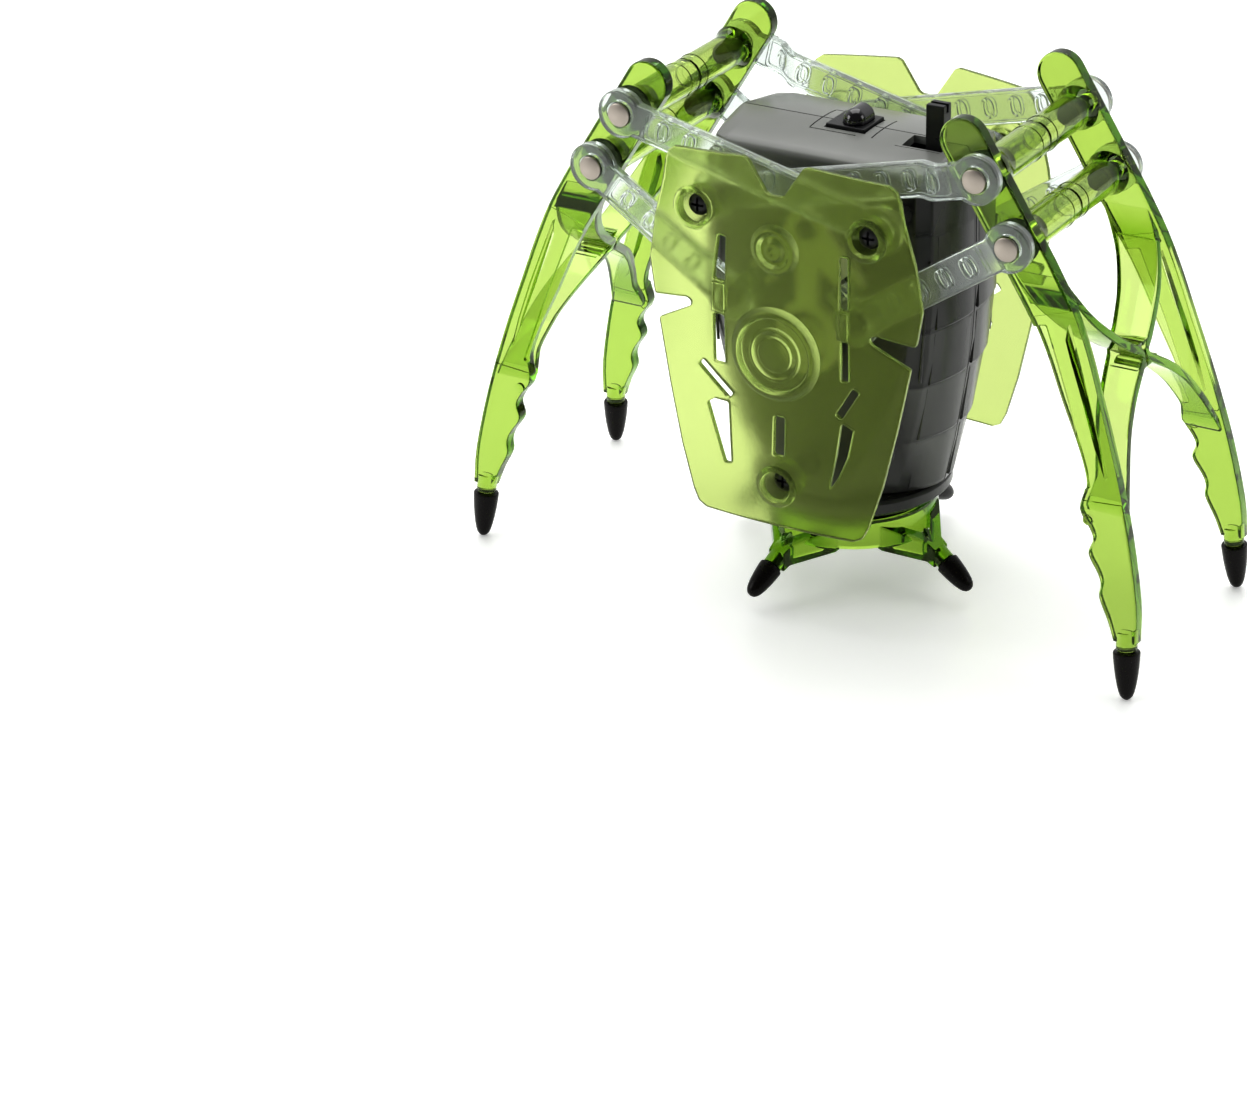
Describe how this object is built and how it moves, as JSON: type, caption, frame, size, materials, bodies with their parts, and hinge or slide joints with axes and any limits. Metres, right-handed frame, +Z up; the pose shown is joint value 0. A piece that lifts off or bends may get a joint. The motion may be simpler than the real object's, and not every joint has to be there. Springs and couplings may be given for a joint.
{
  "type": "walking spider robot",
  "caption": "Walking toy robot: a translucent body on a turning toed foot, carried by long jointed legs on parallel links, with a slide switch and a remote-control receiver dome.",
  "frame": {"origin": "on the floor under the middle of the body, midway between the leg tips", "axes": "+Z up, +X to the robot's right-hand leg unit, +Y from the front cover plate to the back one"},
  "size_m": [0.1426, 0.0628, 0.1032],
  "materials": {
    "smoke": "smoke-tinted translucent, glossy",
    "lime": "clear lime-green, glossy",
    "plate": "frosted yellow-green translucent",
    "frost": "frosted clear",
    "pin_metal": "satin",
    "black": "satin black",
    "rubber": "soft black rubber",
    "hub": "clear yellow-green, glossy",
    "steel": "satin",
    "nylon": "moulded nylon",
    "board": "solder-masked board"
  },
  "bodies": {
    "root": {"housing_front": "smoke", "housing_back": "smoke", "base_cap": "smoke", "receiver_bezel": "black", "receiver_dome": "black", "front_plate": "plate", "back_plate": "plate", "screw_front_left": "black", "screw_front_right": "black", "screw_front_lower": "black", "screw_back_left": "black", "screw_back_right": "black", "screw_back_lower": "black", "circuit_board": "board", "battery_tray": "black", "button_cell_1": "steel", "button_cell_2": "steel", "button_cell_3": "steel", "walk_motor": "steel", "turn_motor": "steel"},
    "switch": {"power_switch": "black"},
    "foot": {"foot_hub": "hub", "foot_screw": "steel", "turn_gear": "nylon", "toe_back_tip": "rubber", "toe_left_tip": "rubber", "toe_front_tip": "rubber", "toe_right_tip": "rubber"},
    "turn_pinion": {"turn_pinion": "nylon"},
    "walk_pinion": {"walk_pinion": "nylon"},
    "crank": {"crank_shaft": "steel", "crank_gear": "nylon", "eccentric_front": "nylon", "eccentric_back": "nylon"},
    "rocker": {"rocker_front": "nylon", "rocker_back": "nylon"},
    "right_upper_links": {"right_upper_link_front": "frost", "right_upper_link_back": "frost"},
    "right_legs": {"right_leg_front": "lime", "right_leg_back": "lime", "right_tip_front": "rubber", "right_tip_back": "rubber", "right_upper_pin_front": "pin_metal", "right_upper_pin_back": "pin_metal", "right_lower_pin_front": "pin_metal", "right_lower_pin_back": "pin_metal"},
    "right_lower_links": {"right_lower_link_front": "frost", "right_lower_link_back": "frost"},
    "left_upper_links": {"left_upper_link_front": "frost", "left_upper_link_back": "frost"},
    "left_legs": {"left_leg_front": "lime", "left_leg_back": "lime", "left_tip_front": "rubber", "left_tip_back": "rubber", "left_upper_pin_front": "pin_metal", "left_upper_pin_back": "pin_metal", "left_lower_pin_front": "pin_metal", "left_lower_pin_back": "pin_metal"},
    "left_lower_links": {"left_lower_link_front": "frost", "left_lower_link_back": "frost"}
  },
  "joints": [
    {"name": "right_stride", "type": "hinge", "parent": "root", "child": "right_upper_links", "pos_m": [-0.0175, 0, 0.0804], "axis": [0, -1, 0], "range_deg": [-4, 4]},
    {"name": "left_stride", "type": "hinge", "parent": "root", "child": "left_upper_links", "pos_m": [0.0175, 0, 0.0804], "axis": [0, -1, 0], "range_deg": [-4.1, 4.1]},
    {"name": "right_leg_pivot", "type": "hinge", "parent": "right_upper_links", "child": "right_legs", "pos_m": [0.0362, 0, 0.0933], "axis": [0, -1, 0], "range_deg": [-10.1, 10.1]},
    {"name": "left_leg_pivot", "type": "hinge", "parent": "left_upper_links", "child": "left_legs", "pos_m": [-0.0362, 0, 0.0933], "axis": [0, -1, 0], "range_deg": [-10.1, 10.1]},
    {"name": "right_lower_pivot", "type": "hinge", "parent": "right_legs", "child": "right_lower_links", "pos_m": [0.0427, 0, 0.0818], "axis": [0, -1, 0], "range_deg": [-12.1, 12.1]},
    {"name": "left_lower_pivot", "type": "hinge", "parent": "left_legs", "child": "left_lower_links", "pos_m": [-0.0427, 0, 0.0818], "axis": [0, -1, 0], "range_deg": [-12.1, 12.1]},
    {"name": "rocker_swing", "type": "hinge", "parent": "root", "child": "rocker", "pos_m": [0, 0, 0.0758], "axis": [0, -1, 0], "range_deg": [-2.8, 2.8]},
    {"name": "crank_turn", "type": "hinge", "parent": "root", "child": "crank", "pos_m": [0, 0, 0.0554], "axis": [0, -1, 0], "range_deg": [-49, 49]},
    {"name": "walk_pinion_spin", "type": "hinge", "parent": "root", "child": "walk_pinion", "pos_m": [0, 0, 0.06425], "axis": [0, -1, 0], "range_deg": [-146, 146]},
    {"name": "foot_turn", "type": "hinge", "parent": "root", "child": "foot", "pos_m": [0, 0, 0.01], "axis": [0, 0, 1], "continuous": true},
    {"name": "turn_pinion_spin", "type": "hinge", "parent": "root", "child": "turn_pinion", "pos_m": [0.00885, 0, 0.024], "axis": [0, 0, 1], "continuous": true},
    {"name": "switch_slide", "type": "slide", "parent": "root", "child": "switch", "axis": [1, 0, 0], "range_m": [-0.0036, 0]}
  ],
  "couplings": [
    {"joint": "left_stride", "follows": "right_stride", "ratio": 1},
    {"joint": "right_leg_pivot", "follows": "right_stride", "ratio": -2.4811},
    {"joint": "left_leg_pivot", "follows": "right_stride", "ratio": -2.4811},
    {"joint": "right_lower_pivot", "follows": "right_stride", "ratio": 2.9735},
    {"joint": "left_lower_pivot", "follows": "right_stride", "ratio": 2.9735},
    {"joint": "rocker_swing", "follows": "right_stride", "ratio": -0.6833},
    {"joint": "crank_turn", "follows": "right_stride", "ratio": -12},
    {"joint": "walk_pinion_spin", "follows": "right_stride", "ratio": 36},
    {"joint": "turn_pinion_spin", "follows": "foot_turn", "ratio": -3}
  ]
}
